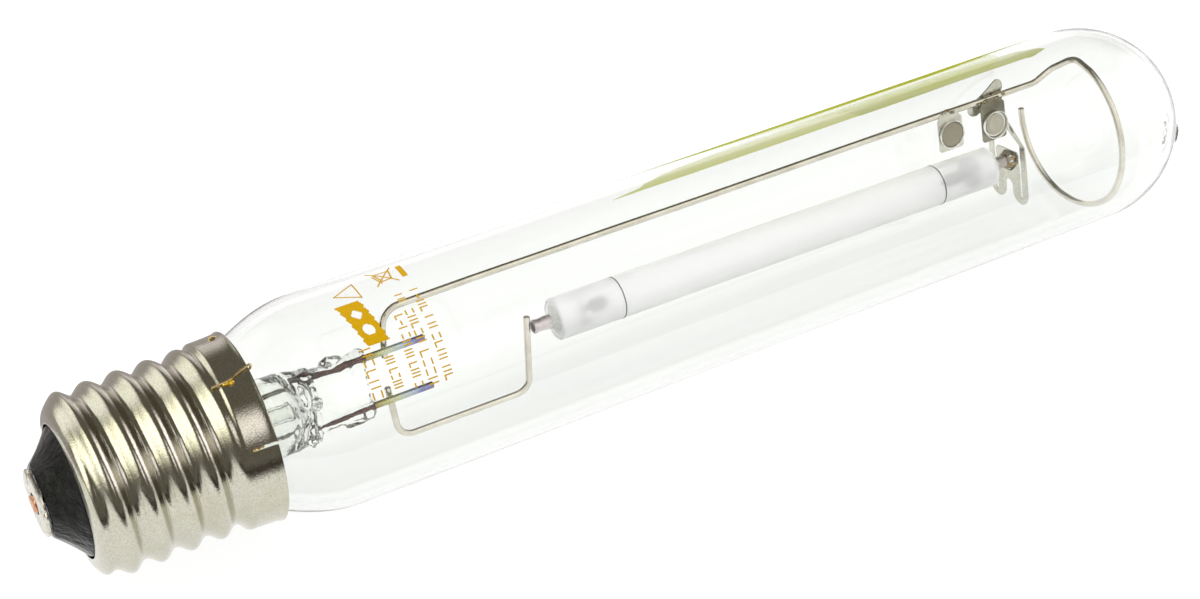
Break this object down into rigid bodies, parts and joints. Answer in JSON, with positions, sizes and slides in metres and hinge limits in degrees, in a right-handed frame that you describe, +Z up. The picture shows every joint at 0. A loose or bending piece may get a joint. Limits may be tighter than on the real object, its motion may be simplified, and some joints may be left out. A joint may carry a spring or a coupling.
{
  "type": "high-pressure sodium grow lamp",
  "caption": "Clear tubular high-pressure sodium grow lamp with a large screw cap: ceramic arc tube, wire frame, getters and spring ring inside a glass bulb.",
  "frame": {"origin": "centre of the cap's centre contact, on its outer flat face", "axes": "+X along the lamp's axis from the contact to the dome; +Z up with the lamp lying level; the electrode frame's long wire is on the +Z side, turned 17 degrees about X towards +Y"},
  "size_m": [0.2809, 0.046, 0.046],
  "materials": {
    "nickel_plated_shell": "nickel plated brass, semi-bright, faint drawing marks",
    "contact_plate": "nickel plated brass plate, light scuffs",
    "solder": "coppery soldered lead end",
    "weld_bead": "small yellow weld bead",
    "brass": "bright brass wire and tabs",
    "black_glass": "glossy black cap glass with flow marks",
    "clear_glass": "clear hard glass, faint green edge",
    "stem_glass": "clear stem glass, lumpy at the press",
    "lead_wire": "drawn nickel wire, dull",
    "tinted_tungsten": "tungsten rod with gold to blue heat tint, brown in the glass",
    "frame_wire": "bright drawn nickel-plated steel wire",
    "frame_sheet": "bright nickel sheet with dark welds",
    "alumina": "translucent sintered alumina",
    "alumina_plug": "white sintered alumina plug",
    "niobium": "violet-grey niobium",
    "sealing_frit": "glassy sealing frit",
    "tungsten": "dark emitter-coated tungsten",
    "antenna_tungsten": "thin dark sintered line",
    "getter_alloy": "pressed grey barium alloy powder",
    "sodium_amalgam": "silvery amalgam"
  },
  "bodies": {
    "root": {"amalgam_pill": "sodium_amalgam", "arc_tube": "alumina", "cap_insulator": "black_glass", "centre_contact": "contact_plate", "centre_lead_wire": "lead_wire", "contact_solder": "solder", "electrode_coil_base": "tungsten", "electrode_coil_dome": "tungsten", "electrode_rod_base": "tungsten", "electrode_rod_dome": "tungsten", "end_plug_base": "alumina_plug", "end_plug_dome": "alumina_plug", "exhaust_tube": "stem_glass", "flex_connector": "frame_sheet", "frame_clip": "frame_sheet", "frame_wire_long": "frame_wire", "frame_wire_short": "frame_wire", "getter_cup_1": "frame_sheet", "getter_cup_2": "frame_sheet", "getter_fill_1": "getter_alloy", "getter_fill_2": "getter_alloy", "getter_plate_1": "frame_sheet", "getter_plate_2": "frame_sheet", "ignition_antenna": "antenna_tungsten", "lead_in_rod_lower": "tinted_tungsten", "lead_in_rod_upper": "tinted_tungsten", "neck_lock_tab_1": "brass", "neck_lock_tab_2": "brass", "niobium_tube_base": "niobium", "niobium_tube_dome": "niobium", "outer_bulb": "clear_glass", "screw_shell": "nickel_plated_shell", "seal_frit_base": "sealing_frit", "seal_frit_dome": "sealing_frit", "side_contact_weld": "weld_bead", "side_contact_wire": "brass", "side_lead_wire": "lead_wire", "stem_glass": "stem_glass"}
  },
  "joints": []
}
